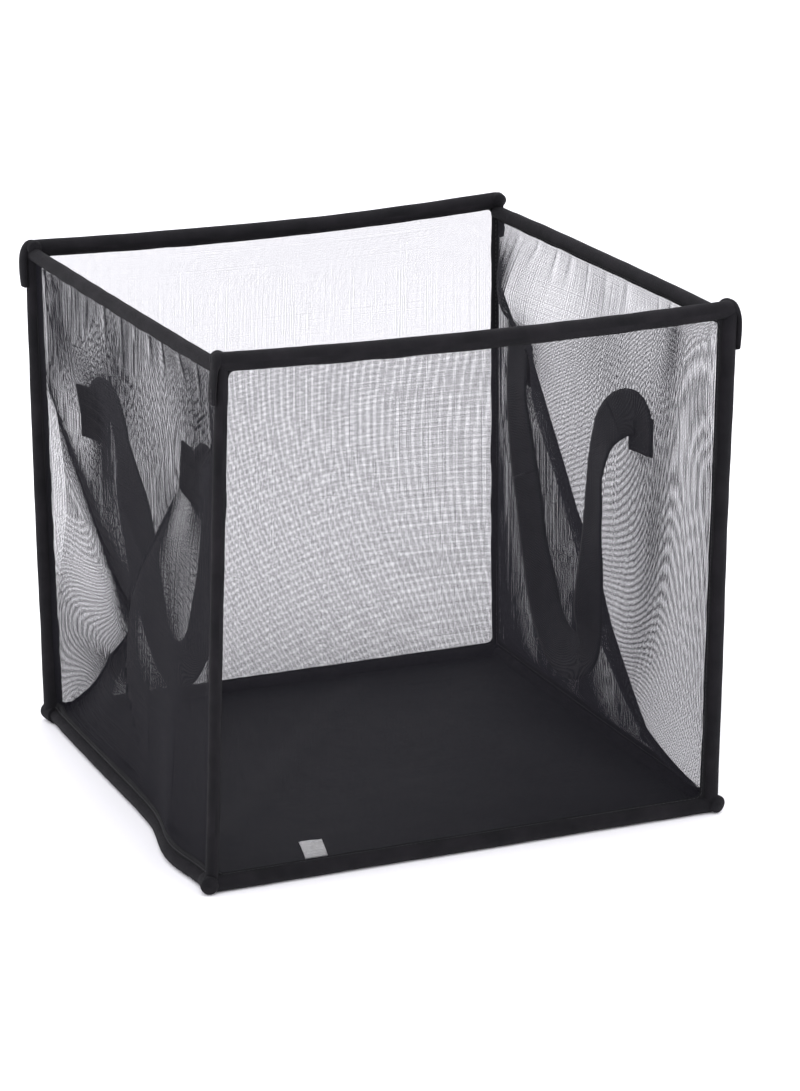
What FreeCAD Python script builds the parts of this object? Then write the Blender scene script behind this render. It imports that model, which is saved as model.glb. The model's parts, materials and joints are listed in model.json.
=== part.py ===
"""Folding mesh basket: an open cube of fabric-sleeved spring wire with four mesh walls,
a solid cloth floor and two webbing carrying loops.

Frame: X to the right, Y to the back, Z up, millimetres. The origin is on the ground,
under the middle of the basket. In plan the basket is a four-bar parallelogram: the front
and back frames stay parallel, and the two side panels swing between them.
"""

import FreeCAD, Part
import os
import math

from FreeCAD import Vector

# ---- driving dimensions ----
WIDTH = 388.0              # between the centrelines of the left and right posts
DEPTH = 368.0              # between the planes of the front and back frames
SLEEVE_R = 6.0             # outer radius of a fabric sleeve
SADDLE_R = 6.05            # hollow end of a sleeve that meets another sleeve
BORE_R = 3.0               # room inside a sleeve
WIRE_R = 1.5               # spring wire
WIRE_BEND_R = 5.0          # centreline radius of the wire at a corner
BOTTOM_Z = SLEEVE_R        # centreline of the bottom sleeves, which rest on the ground
TOP_Z = 375.0              # centreline of the top sleeves

HINGE_OFFSET = 30.0        # from a frame's plane to the upright edge that a side panel turns on
EDGE_R = 3.5               # outer radius of the piping along a side panel's upright edge
EDGE_BORE_R = 1.9
SEAM_GAP = 1.5             # from what stays on a frame to what turns with a side panel
ROD_LEG = 30.0             # turned end of a side panel's rod

MESH_T = 1.0               # mesh wall
MESH_GAP = 0.2             # from a mesh panel to the sleeves around it
FLOOR_T = 1.2

CAP_WALL = 1.6             # cloth cap over a top corner
CAP_GAP = 0.2
CAP_DROP = 36.0            # how far a cap reaches down its post
CAP_ALONG = 12.0           # how far a cap reaches along the frame's rail

FERRULE_R = 2.6
FERRULE_BORE_R = 1.55
FERRULE_LENGTH = 24.0

STRAP_WIDTH = 35.0
STRAP_T = 2.0
STRAP_STANDOFF = 22.0      # from a side panel's plane to the middle of the hanging strap
STRAP_PIVOT_Z = 283.0      # where the strap turns over at its sewn ends
STRAP_FOLD_R = 1.4         # round fold of the strap, on its swing axis
STRAP_BOTTOM_Z = 34.0      # lowest point of the hanging loop
STRAP_HALF_SPAN = 98.0     # from the loop's middle to the middle of a sewn end
STRAP_SHIFT = 16.0         # the left loop sits this far to the front, the right one to the back
LOOP_WIDTH_LOW = 96.0      # outer width of the loop at its bottom curve
TAB_T = 1.5
TAB_HEIGHT = 34.0
TAB_GAP = 0.1              # from a sewn end to the mesh behind it
BRIDGE_GAP = 0.6           # from the strap's turn to the fold that it swings on

LABEL_WIDTH = 20.0
LABEL_HEIGHT = 15.0
LABEL_T = 0.6
LABEL_X = -115.0           # middle of the blank care label

X_AXIS = Vector(1, 0, 0)
Y_AXIS = Vector(0, 1, 0)
Z_AXIS = Vector(0, 0, 1)

POST_X = WIDTH / 2
FRAME_Y = DEPTH / 2
HINGE_Y = FRAME_Y - HINGE_OFFSET
INNER_TOP_Z = TOP_Z - SLEEVE_R
INNER_BOTTOM_Z = BOTTOM_Z + SLEEVE_R
SEAM_Y = HINGE_Y + SLEEVE_R + SEAM_GAP    # where a frame's corner pieces end


def save(shape, node):
    """Writes one sub-part to its own STEP file."""
    shape.exportStep("parts/" + node + ".step")
    print(f"{node:28s} {len(shape.Solids)} solid(s) {shape.Volume / 1000:8.2f} cm3")


def box(x0, x1, y0, y1, z0, z1):
    """A box between two corners."""
    return Part.makeBox(x1 - x0, y1 - y0, z1 - z0, Vector(x0, y0, z0))


def rod(start, end, radius):
    """A straight round bar between two points."""
    along = end - start
    return Part.makeCylinder(radius, along.Length, start, along)


def rounded_path(points, radius, closed):
    """Straight runs through the points, with an arc of the radius at each right-angled corner."""
    count = len(points)
    corners = range(count) if closed else range(1, count - 1)
    arcs = {}
    for i in corners:
        before = (points[i - 1] - points[i]).normalize()
        after = (points[(i + 1) % count] - points[i]).normalize()
        enter = points[i] + before * radius
        leave = points[i] + after * radius
        centre = points[i] + (before + after) * radius
        middle = centre - (before + after).normalize() * radius
        arcs[i] = (enter, middle, leave)
    edges = []
    for i in range(count if closed else count - 1):
        start = arcs[i][2] if i in arcs else points[i]
        following = (i + 1) % count
        end = arcs[following][0] if following in arcs else points[following]
        edges.append(Part.LineSegment(start, end).toShape())
        if following in arcs:
            edges.append(Part.Arc(*arcs[following]).toShape())
    return edges


def pipe(edges, radius):
    """A round bar that follows straight and round edges, one sound solid per edge, joined."""
    pieces = []
    for edge in edges:
        start = edge.valueAt(edge.FirstParameter)
        along = edge.tangentAt(edge.FirstParameter)
        if edge.Curve.TypeId == "Part::GeomLine":
            pieces.append(Part.makeCylinder(radius, edge.Length, start, along))
            continue
        section = Part.Face(Part.Wire(Part.makeCircle(radius, start, along)))
        curve = edge.Curve
        turn = math.degrees(edge.Length / curve.Radius)
        pieces.append(section.revolve(curve.Center, curve.Axis, turn))
    whole = pieces[0].multiFuse(pieces[1:])
    return whole.removeSplitter()


# ---- the front and back frames ----

def frame_wire_edges(y):
    """Centreline of the closed spring-wire loop of a frame."""
    corners = [
        Vector(-POST_X, y, BOTTOM_Z),
        Vector(POST_X, y, BOTTOM_Z),
        Vector(POST_X, y, TOP_Z),
        Vector(-POST_X, y, TOP_Z),
    ]
    return rounded_path(corners, WIRE_BEND_R, closed=True)


def frame_rail(y, z, bore):
    """A top or bottom sleeve of a frame, with the wire's passage through it."""
    reach = POST_X + SLEEVE_R
    sleeve = rod(Vector(-reach, y, z), Vector(reach, y, z), SLEEVE_R)
    return sleeve.cut(bore)


def frame_post(x, y, bore):
    """An upright sleeve, saddled against the top and bottom sleeves."""
    post = rod(Vector(x, y, BOTTOM_Z), Vector(x, y, TOP_Z), SLEEVE_R)
    for z in (BOTTOM_Z, TOP_Z):
        rail = rod(Vector(-WIDTH, y, z), Vector(WIDTH, y, z), SADDLE_R)
        post = post.cut(rail)
    return post.cut(bore)


def corner_cap():
    """A three-sided cloth cap over the outside of the right back top corner."""
    inner_x = POST_X + SLEEVE_R + CAP_GAP
    inner_y = FRAME_Y + SLEEVE_R + CAP_GAP
    inner_z = TOP_Z + SLEEVE_R + CAP_GAP
    outer = box(
        inner_x - CAP_ALONG, inner_x + CAP_WALL,
        SEAM_Y, inner_y + CAP_WALL,
        inner_z - CAP_DROP, inner_z + CAP_WALL,
    )
    long_edges = [e for e in outer.Edges if is_outer_edge(e, inner_x, inner_y, inner_z)]
    outer = outer.makeFillet(CAP_WALL * 0.9, long_edges)
    inner = box(0, inner_x, 0, inner_y, 0, inner_z)
    return outer.cut(inner)


def is_outer_edge(edge, inner_x, inner_y, inner_z):
    """True for the cap's three edges that face away from the basket."""
    middle = edge.CenterOfMass
    beyond = [middle.x > inner_x, middle.y > inner_y, middle.z > inner_z]
    return sum(beyond) == 2


def mirrored(shape, side_x, side_y):
    """The shape of the right back corner, carried to another corner."""
    if side_x < 0:
        shape = shape.mirror(Vector(0, 0, 0), X_AXIS)
    if side_y < 0:
        shape = shape.mirror(Vector(0, 0, 0), Y_AXIS)
    return shape


def build_corner(name, side_x, side_y):
    """What the side wall leaves on a frame's post: two rail ends, a mesh gusset and the cap."""
    for level, z in (("top", TOP_Z), ("bottom", BOTTOM_Z)):
        rail_end = rod(Vector(POST_X, SEAM_Y, z), Vector(POST_X, FRAME_Y, z), SLEEVE_R)
        rail = rod(Vector(0, FRAME_Y, z), Vector(WIDTH, FRAME_Y, z), SADDLE_R)
        post = rod(Vector(POST_X, FRAME_Y, BOTTOM_Z), Vector(POST_X, FRAME_Y, TOP_Z), SADDLE_R)
        rail_end = rail_end.cut(rail).cut(post)
        save(mirrored(rail_end, side_x, side_y), f"{name}_{level}_rail_end")
    gusset = box(
        POST_X - MESH_T / 2, POST_X + MESH_T / 2,
        SEAM_Y, FRAME_Y - SLEEVE_R - MESH_GAP,
        INNER_BOTTOM_Z + MESH_GAP, INNER_TOP_Z - MESH_GAP,
    )
    save(mirrored(gusset, side_x, side_y), name + "_gusset")
    save(mirrored(corner_cap(), side_x, side_y), name + "_corner_cap")


def build_frame(name, side_y):
    """All the nodes of the front or back frame."""
    y = side_y * FRAME_Y
    wire_edges = frame_wire_edges(y)
    bore = pipe(wire_edges, BORE_R)
    save(pipe(wire_edges, WIRE_R), name + "_wire_loop")

    half = FERRULE_LENGTH / 2
    ferrule = rod(Vector(-half, y, BOTTOM_Z), Vector(half, y, BOTTOM_Z), FERRULE_R)
    passage = rod(Vector(-2 * half, y, BOTTOM_Z), Vector(2 * half, y, BOTTOM_Z), FERRULE_BORE_R)
    save(ferrule.cut(passage), name + "_wire_ferrule")

    save(frame_rail(y, TOP_Z, bore), name + "_top_sleeve")
    save(frame_rail(y, BOTTOM_Z, bore), name + "_bottom_sleeve")
    for side, sign in (("left", -1), ("right", 1)):
        save(frame_post(sign * POST_X, y, bore), f"{name}_{side}_post_sleeve")
        build_corner(f"{name}_{side}", sign, side_y)

    half_width = POST_X - SLEEVE_R - MESH_GAP
    panel = box(
        -half_width, half_width,
        y - MESH_T / 2, y + MESH_T / 2,
        INNER_BOTTOM_Z + MESH_GAP, INNER_TOP_Z - MESH_GAP,
    )
    save(panel, name + "_mesh_panel")


def build_floor():
    """The cloth floor, inside the bottom sleeves."""
    half_x = POST_X - SLEEVE_R - MESH_GAP
    half_y = FRAME_Y - SLEEVE_R - MESH_GAP
    save(box(-half_x, half_x, -half_y, half_y, 0, FLOOR_T), "floor_panel")


def build_label():
    """A small blank label sewn inside the foot of the front wall."""
    inside_y = -FRAME_Y + MESH_T / 2 + MESH_GAP
    label = box(
        LABEL_X - LABEL_WIDTH / 2, LABEL_X + LABEL_WIDTH / 2,
        inside_y, inside_y + LABEL_T,
        INNER_BOTTOM_Z + MESH_GAP, INNER_BOTTOM_Z + MESH_GAP + LABEL_HEIGHT,
    )
    save(label, "care_label")


# ---- the side panels ----

def side_rod_edges(x, z, leg_z):
    """Centreline of a side panel's rod, with both ends turned along the hinge lines."""
    points = [
        Vector(x, -HINGE_Y, leg_z),
        Vector(x, -HINGE_Y, z),
        Vector(x, HINGE_Y, z),
        Vector(x, HINGE_Y, leg_z),
    ]
    return rounded_path(points, WIRE_BEND_R, closed=False)


def side_rail(x, z, bore):
    """A side panel's top or bottom sleeve, with round ends on the hinge lines."""
    sleeve = rod(Vector(x, -HINGE_Y, z), Vector(x, HINGE_Y, z), SLEEVE_R)
    for y in (-HINGE_Y, HINGE_Y):
        sleeve = sleeve.fuse(Part.makeSphere(SLEEVE_R, Vector(x, y, z)))
    return sleeve.removeSplitter().cut(bore)


def build_side(name, side_x):
    """All the nodes of the left or right side panel."""
    x = side_x * POST_X
    for level, z, leg_z in (
        ("top", TOP_Z, TOP_Z - ROD_LEG),
        ("bottom", BOTTOM_Z, BOTTOM_Z + ROD_LEG),
    ):
        rod_edges = side_rod_edges(x, z, leg_z)
        save(pipe(rod_edges, WIRE_R), f"{name}_{level}_rod")
        save(side_rail(x, z, pipe(rod_edges, BORE_R)), f"{name}_{level}_sleeve")

    for end, y in (("front", -HINGE_Y), ("back", HINGE_Y)):
        foot = Vector(x, y, INNER_BOTTOM_Z + MESH_GAP)
        head = Vector(x, y, INNER_TOP_Z - MESH_GAP)
        piping = rod(foot, head, EDGE_R).cut(rod(foot, head, EDGE_BORE_R))
        save(piping, f"{name}_{end}_edge_piping")

    half_length = HINGE_Y - EDGE_R - MESH_GAP
    panel = box(
        x - MESH_T / 2, x + MESH_T / 2,
        -half_length, half_length,
        INNER_BOTTOM_Z + MESH_GAP, INNER_TOP_Z - MESH_GAP,
    )
    save(panel, name + "_mesh_panel")


# ---- the carrying loops ----

def strap_middle(side_x):
    """The Y of the middle of a carrying loop."""
    return side_x * STRAP_SHIFT


def loop_outline(middle_y, half_top, half_low, bottom_z, top_z):
    """A tapered U in the plane of a side panel: open straight legs and a round bottom."""
    low_z = bottom_z + half_low
    right_top = Vector(0, middle_y + half_top, top_z)
    right_low = Vector(0, middle_y + half_low, low_z)
    bottom = Vector(0, middle_y, bottom_z)
    left_low = Vector(0, middle_y - half_low, low_z)
    left_top = Vector(0, middle_y - half_top, top_z)
    edges = [
        Part.LineSegment(right_top, right_low).toShape(),
        Part.Arc(right_low, bottom, left_low).toShape(),
        Part.LineSegment(left_low, left_top).toShape(),
        Part.LineSegment(left_top, right_top).toShape(),
    ]
    return Part.Face(Part.Wire(edges))


def build_strap(name, side_x):
    """The webbing loop, hanging flat inside its side panel, and its two sewn ends."""
    middle_y = strap_middle(side_x)
    top_z = STRAP_PIVOT_Z
    half_strap = STRAP_WIDTH / 2
    outer = loop_outline(
        middle_y, STRAP_HALF_SPAN + half_strap, LOOP_WIDTH_LOW / 2, STRAP_BOTTOM_Z, top_z
    )
    inner = loop_outline(
        middle_y,
        STRAP_HALF_SPAN - half_strap,
        LOOP_WIDTH_LOW / 2 - half_strap * 1.6,
        STRAP_BOTTOM_Z + STRAP_WIDTH,
        top_z + 1,
    )
    centre_x = side_x * (POST_X - STRAP_STANDOFF)
    loop = outer.cut(inner).extrude(Vector(STRAP_T, 0, 0))
    loop.translate(Vector(centre_x - STRAP_T / 2, 0, 0))
    for sign in (-1, 1):
        end_y = middle_y + sign * STRAP_HALF_SPAN
        fold_start = Vector(centre_x, end_y - half_strap, top_z)
        fold_end = Vector(centre_x, end_y + half_strap, top_z)
        loop = loop.fuse(rod(fold_start, fold_end, STRAP_FOLD_R))
    save(loop, name + "_handle_webbing")

    tab_outer_x = POST_X - MESH_T / 2 - TAB_GAP
    for end, sign in (("front", -1), ("back", 1)):
        tab_y = middle_y + sign * STRAP_HALF_SPAN
        tab = box(
            tab_outer_x - TAB_T, tab_outer_x,
            tab_y - half_strap, tab_y + half_strap,
            STRAP_PIVOT_Z - TAB_HEIGHT, STRAP_PIVOT_Z,
        )
        turn_x = POST_X - STRAP_STANDOFF + STRAP_FOLD_R + BRIDGE_GAP
        bridge = box(
            turn_x, tab_outer_x,
            tab_y - half_strap, tab_y + half_strap,
            STRAP_PIVOT_Z, STRAP_PIVOT_Z + TAB_T,
        )
        tab = tab.fuse(bridge).removeSplitter()
        if side_x < 0:
            tab = tab.mirror(Vector(0, 0, 0), X_AXIS)
        save(tab, f"{name}_handle_{end}_tab")


os.makedirs("parts", exist_ok=True)
for frame_name, frame_side in (("front", -1), ("back", 1)):
    build_frame(frame_name, frame_side)
build_floor()
build_label()
for panel_name, panel_side in (("left", -1), ("right", 1)):
    build_side(panel_name, panel_side)
    build_strap(panel_name, panel_side)
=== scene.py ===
"""The looks of the folding mesh basket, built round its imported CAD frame.

Lengths are worked in millimetres in the CAD frame and turned into metres when a mesh is made.
"""

import json
import math
from functools import partial

import bpy
import numpy as np
from mathutils import Matrix, Vector


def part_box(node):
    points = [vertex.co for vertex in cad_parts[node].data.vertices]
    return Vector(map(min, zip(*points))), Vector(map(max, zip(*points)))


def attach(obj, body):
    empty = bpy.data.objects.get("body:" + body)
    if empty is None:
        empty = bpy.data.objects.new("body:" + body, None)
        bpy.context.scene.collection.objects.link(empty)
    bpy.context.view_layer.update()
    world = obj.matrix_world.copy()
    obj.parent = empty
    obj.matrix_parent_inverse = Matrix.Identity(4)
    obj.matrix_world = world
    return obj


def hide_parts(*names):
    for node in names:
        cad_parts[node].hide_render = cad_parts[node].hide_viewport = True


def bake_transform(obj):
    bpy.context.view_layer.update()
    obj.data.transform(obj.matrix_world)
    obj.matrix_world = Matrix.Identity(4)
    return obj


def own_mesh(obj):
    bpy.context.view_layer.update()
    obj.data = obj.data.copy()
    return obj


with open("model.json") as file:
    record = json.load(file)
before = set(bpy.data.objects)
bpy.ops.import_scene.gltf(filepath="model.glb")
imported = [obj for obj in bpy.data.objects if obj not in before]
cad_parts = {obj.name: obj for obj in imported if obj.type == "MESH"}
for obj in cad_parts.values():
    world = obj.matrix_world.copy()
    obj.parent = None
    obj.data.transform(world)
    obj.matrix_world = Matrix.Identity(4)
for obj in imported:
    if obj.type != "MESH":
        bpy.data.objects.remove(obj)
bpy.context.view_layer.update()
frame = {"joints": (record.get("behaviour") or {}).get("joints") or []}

MM = 0.001
SIDES = (("left", -1), ("right", 1))
ENDS = (("front", -1), ("back", 1))


# ---- dimensions read from the frame ----

def box_mm(node):
    """Lowest and highest corner of a CAD node, in millimetres."""
    low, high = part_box(node)
    return np.array(low) / MM, np.array(high) / MM


def joint(name):
    """A joint of the CAD frame."""
    return next(j for j in frame["joints"] if j["name"] == name)


_low, _high = box_mm("front_top_sleeve")
TUBE_R = (_high[2] - _low[2]) / 2
POST_X = _high[0] - TUBE_R
FRAME_Y = -(_low[1] + _high[1]) / 2
TOP_Z = (_low[2] + _high[2]) / 2
BOTTOM_Z = TUBE_R
HINGE_Y = -joint("left_fold")["pos_m"][1] / MM
STRAP_X = -joint("left_handle_swing")["pos_m"][0] / MM
WALL_Y = FRAME_Y - TUBE_R
WALL_LOW = BOTTOM_Z + TUBE_R
WALL_HIGH = TOP_Z - TUBE_R
WALL_TALL = WALL_HIGH - WALL_LOW

RAIL_R = {"top": 6.3, "bottom": 6.0}        # the front and back rails' cloth
SIDE_RAIL_R = 5.2                           # the side rails' cloth, drawn tighter
POST_R = {("left", "front"): 4.4, ("right", "front"): 5.5, ("left", "back"): 5.9, ("right", "back"): 3.1}
RAIL_UP = {"top": (0, 0, 1), "bottom": (0, 0, -1)}  # away from each rail's seam
WIRE_R = 1.5
TUCK = 3.0                                  # how far the mesh runs on under a sleeve
POST_TUCK = 2.5
HEM_TUCK = 2.0

# How far each corner of this soft frame stands from its true place: x, y, z.
LEAN = {
    ("left", "back", "top"): (-1.8, -0.2, 0.0),
    ("right", "back", "top"): (-7.4, 1.6, 4.8),
    ("right", "front", "top"): (-2.0, -0.5, 1.8),
    ("left", "front", "top"): (6.2, -1.4, 2.2),
    ("left", "back", "bottom"): (5.0, -3.5, 0.0),
    ("right", "back", "bottom"): (-3.0, -3.5, 0.0),
    ("right", "front", "bottom"): (-3.0, -0.5, 0.0),
    ("left", "front", "bottom"): (-3.0, 2.0, 0.0),
}

# How far below the frame's own rail each end of a side rail is sewn on.
SIDE_DROP = {("left", "back"): 4.4, ("right", "back"): 9.2, ("right", "front"): 7.8, ("left", "front"): 5.2}


def lean_at(x, y, z):
    """The frame's lean anywhere, blended between its eight corners."""
    across = np.clip((np.asarray(x, float) / POST_X + 1) / 2, 0, 1)
    along = np.clip((np.asarray(y, float) / FRAME_Y + 1) / 2, 0, 1)
    up = np.clip((np.asarray(z, float) - BOTTOM_Z) / (TOP_Z - BOTTOM_Z), 0, 1)
    total = 0
    for (side, end, level), offset in LEAN.items():
        share = across if side == "right" else 1 - across
        share = share * (along if end == "back" else 1 - along)
        share = share * (up if level == "top" else 1 - up)
        total = total + share[..., None] * np.array(offset)
    return total


def leaned(points):
    """Points of the true frame moved to where the leaning frame has them."""
    points = np.asarray(points, float)
    return points + lean_at(points[..., 0], points[..., 1], points[..., 2])


# ---- mesh helpers ----

def new_object(name, points, faces, uvs=None, smooth=True):
    """A mesh object from millimetre points, faces as rows of point numbers, and corner UVs."""
    mesh = bpy.data.meshes.new(name)
    mesh.from_pydata((np.asarray(points, float) * MM).tolist(), [], [list(face) for face in faces])
    if uvs is not None:
        layer = mesh.uv_layers.new(name="UVMap")
        layer.data.foreach_set("uv", np.asarray(uvs, np.float32).ravel())
    mesh.polygons.foreach_set("use_smooth", [smooth] * len(mesh.polygons))
    mesh.validate()
    made = bpy.data.objects.new(name, mesh)
    bpy.context.scene.collection.objects.link(made)
    return made


def grid_faces(rows, columns, wrap=False, start=0):
    """Quads of a rows by columns point grid, closed round the columns if wrap."""
    i = np.arange(rows - 1)[:, None]
    j = np.arange(columns if wrap else columns - 1)[None, :]
    k = (j + 1) % columns
    quads = np.stack([i * columns + j, i * columns + k, (i + 1) * columns + k, (i + 1) * columns + j], -1)
    return quads.reshape(-1, 4) + start


def length_along(points):
    """The distance along a path at each of its points, from 0."""
    steps = np.linalg.norm(np.diff(points, axis=0), axis=1)
    return np.concatenate([[0], np.cumsum(steps)])


def resample(points, step):
    """Points about a step apart on a smooth curve through the given ones."""
    points = np.asarray(points, float)
    if len(points) == 2:
        count = max(2, int(np.linalg.norm(points[1] - points[0]) / step) + 1)
        return np.linspace(points[0], points[1], count)
    padded = np.vstack([2 * points[0] - points[1], points, 2 * points[-1] - points[-2]])
    made = []
    for i in range(1, len(padded) - 2):
        a, b, c, d = padded[i - 1:i + 3]
        count = max(2, int(np.linalg.norm(c - b) / step) + 1)
        t = np.linspace(0, 1, count, endpoint=False)[:, None]
        made.append(0.5 * (2 * b + (c - a) * t + (2 * a - 5 * b + 4 * c - d) * t**2
                           + (3 * b - a - 3 * c + d) * t**3))
    made.append(padded[-2][None, :])
    return np.vstack(made)


def unit(v):
    """Vectors scaled to length 1."""
    return v / np.maximum(np.linalg.norm(v, axis=-1, keepdims=True), 1e-9)


def wobble(seed, *coordinates):
    """Smooth seeded noise, about -1 to 1, from a few waves of each coordinate."""
    rng = np.random.default_rng(seed)
    total = 0
    for _ in range(6):
        phase = rng.uniform(0, 2 * math.pi)
        for value in coordinates:
            phase = phase + rng.uniform(0.45, 1.6) * rng.choice([-1, 1]) * value
        total = total + np.sin(phase)
    return total / 3.2


def skin_uvs(along, around, width):
    """Corner UVs of a wrapped grid of quads: the distance along it, and a width for each point round it."""
    i, j = np.divmod(np.arange((len(along) - 1) * around), around)
    v0, v1 = j * width, (j + 1) * width
    return np.stack([along[i], v0, along[i], v1, along[i + 1], v1, along[i + 1], v0], -1).reshape(-1, 2)


def loft(name, centres, side, up, outlines, uv_round=None):
    """A closed skin over an (n, 2) outline at each centre, in its side and up directions."""
    around = len(outlines[0])
    rings = np.array([
        c + o[:, :1] * s + o[:, 1:] * u for c, o, s, u in zip(centres, outlines, side, up)
    ])
    faces = grid_faces(len(centres), around, wrap=True).tolist()
    last = (len(centres) - 1) * around
    faces.append(list(range(around))[::-1])
    faces.append([last + k for k in range(around)])
    along = length_along(np.asarray(centres))
    girth = uv_round or np.linalg.norm(np.diff(rings[len(rings) // 2], axis=0), axis=1).sum()
    uvs = skin_uvs(along, around, girth / around)
    end_uvs = np.concatenate([outlines[0][::-1] + along[0], outlines[-1] + along[-1]])
    return new_object(name, rings.reshape(-1, 3), faces, np.vstack([uvs, end_uvs]))


def frames_along(centres, up_hint):
    """Side and up directions along a path that keep as near the hint as they can."""
    tangent = unit(np.gradient(centres, axis=0))
    hint = np.broadcast_to(np.asarray(up_hint, float), tangent.shape)
    up = unit(hint - (hint * tangent).sum(1, keepdims=True) * tangent)
    return np.cross(tangent, up), up


def round_ends(count, reach):
    """Radius factors that dome the first and last few rings of a tube."""
    i = np.arange(count)
    near = np.minimum(i, count - 1 - i)
    share = np.clip(near / reach, 0, 1)
    return np.sqrt(np.clip(1 - (1 - share) ** 2, 0.02, 1))


def sleeve_tube(name, path, seed, radius=None, up_hint=(0, 0, 1), step=2.2, dome=(True, True),
                pucker=0.30, ring=22, swell=None):
    """A cloth sleeve drawn over wire: a tube with the small puckers and twists of sewn cloth.

    The seam allowance runs along the tube's negative up direction, and puckers fan from it. swell
    gives a factor on the radius for each share of the length.
    """
    radius = radius or SIDE_RAIL_R
    centres = resample(path, step)
    side, up = frames_along(centres, up_hint)
    along = length_along(centres)
    angle = np.linspace(0, 2 * math.pi, ring, endpoint=False)
    count = len(centres)
    ends = round_ends(count, 2.5)
    if not dome[0]:
        ends[:count // 2] = 1
    if not dome[1]:
        ends[count // 2:] = 1
    toward_seam = np.clip(-np.sin(angle), 0, 1)
    outlines = []
    for i, s in enumerate(along):
        ripple = wobble(seed, np.full(ring, s / 7.5), 1.7 * angle) * pucker * (0.35 + toward_seam)
        drift = wobble(seed + 50, np.full(ring, s / 42.0), angle) * 0.28
        r = (radius + ripple + drift) * ends[i]
        if swell:
            r = r * swell(i / (count - 1))
        outlines.append(np.stack([np.cos(angle) * r, np.sin(angle) * r], -1))
    return loft(name, centres, side, up, outlines)


def ribbon(name, centres, width_dirs, width, thickness, camber, across=12):
    """A flat strap along centres, its width in the given directions, with soft edges."""
    tangent = unit(np.gradient(centres, axis=0))
    side = unit(width_dirs - (width_dirs * tangent).sum(1, keepdims=True) * tangent)
    up = np.cross(tangent, side)
    share = np.linspace(-1, 1, across)
    edge = np.sqrt(np.clip(1 - np.abs(share) ** 12, 0.12, 1))
    outline = np.vstack([np.stack([share, edge], -1), np.stack([share[::-1], -edge[::-1]], -1)])
    section = outline * [width / 2, thickness / 2]
    section[:, 1] += camber * (1 - outline[:, 0] ** 2)
    return loft(name, centres, side, up, [section] * len(centres), uv_round=2 * width)


def slab(name, front, back, uv_axis):
    """Thin cloth between two grids of points, closed round its rim. Its UVs are two of its axes."""
    rows, columns = front.shape[:2]
    count = rows * columns
    rim = np.concatenate([
        np.arange(columns), np.arange(1, rows) * columns + columns - 1,
        (rows - 1) * columns + np.arange(columns - 2, -1, -1), np.arange(rows - 2, 0, -1) * columns,
    ])
    after = np.roll(rim, -1)
    faces = np.vstack([
        grid_faces(rows, columns),
        grid_faces(rows, columns, start=count)[:, ::-1],
        np.stack([rim, rim + count, after + count, after], -1),
    ])
    points = np.vstack([front.reshape(-1, 3), back.reshape(-1, 3)])
    return new_object(name, points, faces, points[faces.ravel()][:, uv_axis])


def round_rings(centres, side, up, radii, count):
    """Rings of count points round a path, with a radius for each of its points."""
    angle = np.linspace(0, 2 * math.pi, count, endpoint=False)
    spokes = (np.cos(angle)[None, :, None] * side[:, None, :]
              + np.sin(angle)[None, :, None] * up[:, None, :])
    return centres[:, None, :] + radii[:, None, None] * spokes


# ---- materials ----

def material(name, colour, roughness=0.8, sheen=0.0, specular=0.5):
    """A Principled material with its plain values set, ready for nodes on colour and bump."""
    made = bpy.data.materials.new(name)
    made.use_nodes = True
    shader = made.node_tree.nodes["Principled BSDF"]
    shader.inputs["Base Color"].default_value = (*colour, 1)
    shader.inputs["Roughness"].default_value = roughness
    shader.inputs["Sheen Weight"].default_value = sheen
    shader.inputs["Sheen Roughness"].default_value = 0.45
    shader.inputs["Sheen Tint"].default_value = (1, 1, 1, 1)
    shader.inputs["Specular IOR Level"].default_value = specular
    return made, made.node_tree, shader


def node(tree, kind, settings=None, **inputs):
    """A node with its attributes and sockets set. A socket takes a value or another socket."""
    made = tree.nodes.new(kind)
    for key, value in (settings or {}).items():
        setattr(made, key, value)
    for key, value in inputs.items():
        socket = made.inputs[int(key[1:])] if key[0] == "i" and key[1:].isdigit() else made.inputs[key]
        if isinstance(value, bpy.types.NodeSocket):
            tree.links.new(value, socket)
        else:
            socket.default_value = value
    return made


def math_node(tree, operation, a, b=None):
    """The result of a maths node on one or two values or sockets."""
    inputs = {"i0": a} if b is None else {"i0": a, "i1": b}
    return node(tree, "ShaderNodeMath", {"operation": operation}, **inputs).outputs[0]


def uv_axes(tree):
    """The UV map's two coordinates, in millimetres."""
    uv = node(tree, "ShaderNodeUVMap", {"uv_map": "UVMap"})
    split = node(tree, "ShaderNodeSeparateXYZ", Vector=uv.outputs["UV"])
    return uv.outputs["UV"], split.outputs["X"], split.outputs["Y"]


def wave(tree, coordinate, pitch, phase=0.0):
    """A sine of a millimetre coordinate, from -1 to 1."""
    turned = math_node(tree, "MULTIPLY_ADD", coordinate, 2 * math.pi / pitch)
    turned.node.inputs[2].default_value = phase
    return math_node(tree, "SINE", turned)


def mottled(tree, shader, vector, scale, low, high):
    """Makes a shader's colour drift softly between two tones."""
    noise = node(tree, "ShaderNodeTexNoise", Vector=vector, Scale=scale, Detail=3.0)
    ramp = node(tree, "ShaderNodeValToRGB", Fac=noise.outputs["Fac"])
    ramp.color_ramp.elements[0].position = 0.32
    ramp.color_ramp.elements[1].position = 0.68
    ramp.color_ramp.elements[0].color = (*low, 1)
    ramp.color_ramp.elements[1].color = (*high, 1)
    tree.links.new(ramp.outputs["Color"], shader.inputs["Base Color"])


def bumped(tree, shader, height, distance):
    """Makes a shader's surface follow a height socket, scaled by a distance in metres."""
    bump = node(tree, "ShaderNodeBump", Height=height, Distance=distance, Strength=1.0)
    tree.links.new(bump.outputs["Normal"], shader.inputs["Normal"])


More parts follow.
